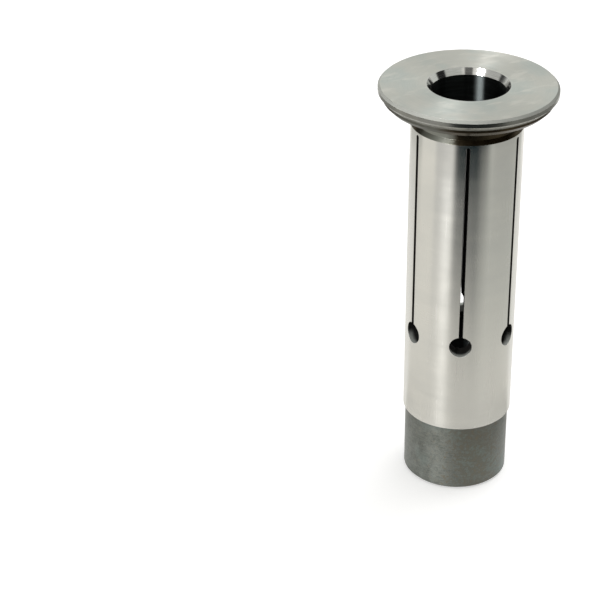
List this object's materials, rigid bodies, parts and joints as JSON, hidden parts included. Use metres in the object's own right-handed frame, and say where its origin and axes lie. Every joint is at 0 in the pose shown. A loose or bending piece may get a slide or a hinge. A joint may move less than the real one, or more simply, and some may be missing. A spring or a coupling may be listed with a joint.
{
  "type": "reducing sleeve",
  "caption": "Slotted steel reducing sleeve: a ground shank with a through bore, lengthwise slits ending in relief holes, and a bevelled collar at the mouth.",
  "frame": {"origin": "centre of the lower end, on the sleeve's axis", "axes": "+Z along the axis, from the lower end to the collar; -Y through the middle of the front slit"},
  "size_m": [0.019, 0.019, 0.047],
  "materials": {
    "hardened_steel": "hardened tool steel: ground shank and bore, turned collar, dull unground lower end"
  },
  "bodies": {
    "root": {"reducing_sleeve": "hardened_steel"}
  },
  "joints": []
}
